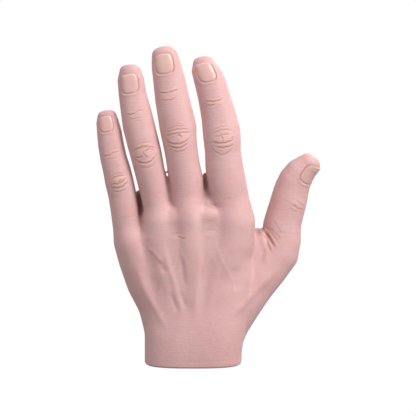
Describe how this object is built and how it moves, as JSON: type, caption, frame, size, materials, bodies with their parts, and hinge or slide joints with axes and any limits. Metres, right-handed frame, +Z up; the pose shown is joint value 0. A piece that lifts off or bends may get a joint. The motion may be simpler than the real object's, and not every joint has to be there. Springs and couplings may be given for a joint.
{
  "type": "prosthetic hand",
  "caption": "Passive left hand prosthesis: skin-toned silicone glove with creases and nails over a jointed alloy inner hand, on a swivelling threaded wrist adapter.",
  "frame": {"origin": "on the wrist's axis at its flat end, in the mouth of the threaded bore", "axes": "+Z up from the wrist to the fingertips, +X towards the thumb, +Y towards the palm side, so the back of the hand faces -Y"},
  "size_m": [0.1357, 0.048, 0.1942],
  "materials": {
    "skin_silicone": "satin",
    "nail_acrylic": "gloss",
    "core_foam": "matte",
    "frame_alloy": "satin",
    "hinge_steel": "satin",
    "wrist_nylon": "matte",
    "washer_fibre": "matte"
  },
  "bodies": {
    "palm": {"wrist_block": "wrist_nylon", "wrist_plate": "hinge_steel", "wrist_screws": "hinge_steel", "friction_washer": "washer_fibre", "wave_spring": "hinge_steel", "palm_frame": "frame_alloy", "knuckle_pins": "hinge_steel", "thumb_bracket": "frame_alloy", "thumb_bracket_screws": "hinge_steel", "thumb_root_pin": "hinge_steel", "dorsal_core": "core_foam", "palmar_core": "core_foam", "palm_skin": "skin_silicone"},
    "adapter": {"wrist_adapter": "hinge_steel"},
    "index_proximal": {"index_proximal_link": "frame_alloy", "index_middle_pin": "hinge_steel", "index_root_skin": "skin_silicone"},
    "index_distal": {"index_distal_link": "frame_alloy", "index_tip_skin": "skin_silicone", "index_nail": "nail_acrylic"},
    "middle_proximal": {"middle_proximal_link": "frame_alloy", "middle_middle_pin": "hinge_steel", "middle_root_skin": "skin_silicone"},
    "middle_distal": {"middle_distal_link": "frame_alloy", "middle_tip_skin": "skin_silicone", "middle_nail": "nail_acrylic"},
    "ring_proximal": {"ring_proximal_link": "frame_alloy", "ring_middle_pin": "hinge_steel", "ring_root_skin": "skin_silicone"},
    "ring_distal": {"ring_distal_link": "frame_alloy", "ring_tip_skin": "skin_silicone", "ring_nail": "nail_acrylic"},
    "little_proximal": {"little_proximal_link": "frame_alloy", "little_middle_pin": "hinge_steel", "little_root_skin": "skin_silicone"},
    "little_distal": {"little_distal_link": "frame_alloy", "little_tip_skin": "skin_silicone", "little_nail": "nail_acrylic"},
    "thumb_proximal": {"thumb_proximal_link": "frame_alloy", "thumb_middle_pin": "hinge_steel", "thumb_root_skin": "skin_silicone"},
    "thumb_distal": {"thumb_distal_link": "frame_alloy", "thumb_tip_skin": "skin_silicone", "thumb_nail": "nail_acrylic"}
  },
  "joints": [
    {"name": "wrist_swivel", "type": "hinge", "parent": "palm", "child": "adapter", "pos_m": [0, 0, 0], "axis": [0, 0, 1], "continuous": true},
    {"name": "index_root", "type": "hinge", "parent": "palm", "child": "index_proximal", "pos_m": [0.0209, -0.001, 0.112], "axis": [-0.9914, 0, -0.1309], "range_deg": [0, 65]},
    {"name": "index_middle", "type": "hinge", "parent": "index_proximal", "child": "index_distal", "pos_m": [0.0176, -0.001, 0.137], "axis": [-0.9779, 0, -0.209], "range_deg": [0, 80]},
    {"name": "middle_root", "type": "hinge", "parent": "palm", "child": "middle_proximal", "pos_m": [-0.0026, -0.0015, 0.112], "axis": [-0.9744, 0, -0.2249], "range_deg": [0, 65]},
    {"name": "middle_middle", "type": "hinge", "parent": "middle_proximal", "child": "middle_distal", "pos_m": [-0.0086, -0.0015, 0.138], "axis": [-0.9873, 0, -0.1587], "range_deg": [0, 80]},
    {"name": "ring_root", "type": "hinge", "parent": "palm", "child": "ring_proximal", "pos_m": [-0.0232, -0.001, 0.109], "axis": [-0.9635, 0, -0.2679], "range_deg": [0, 65]},
    {"name": "ring_middle", "type": "hinge", "parent": "ring_proximal", "child": "ring_distal", "pos_m": [-0.0289, -0.001, 0.1295], "axis": [-0.987, 0, -0.1605], "range_deg": [0, 80]},
    {"name": "little_root", "type": "hinge", "parent": "palm", "child": "little_proximal", "pos_m": [-0.041, -0.0005, 0.093], "axis": [-0.9825, 0, -0.1862], "range_deg": [0, 65]},
    {"name": "little_middle", "type": "hinge", "parent": "little_proximal", "child": "little_distal", "pos_m": [-0.0446, -0.0005, 0.112], "axis": [-0.9851, 0, -0.1718], "range_deg": [0, 80]},
    {"name": "thumb_root", "type": "hinge", "parent": "palm", "child": "thumb_proximal", "pos_m": [0.054, 0.013, 0.074], "axis": [-0.7872, -0.5904, 0.1779], "range_deg": [0, 35]},
    {"name": "thumb_middle", "type": "hinge", "parent": "thumb_proximal", "child": "thumb_distal", "pos_m": [0.0586, 0.015, 0.101], "axis": [-0.7446, -0.5584, 0.3657], "range_deg": [0, 55]}
  ]
}
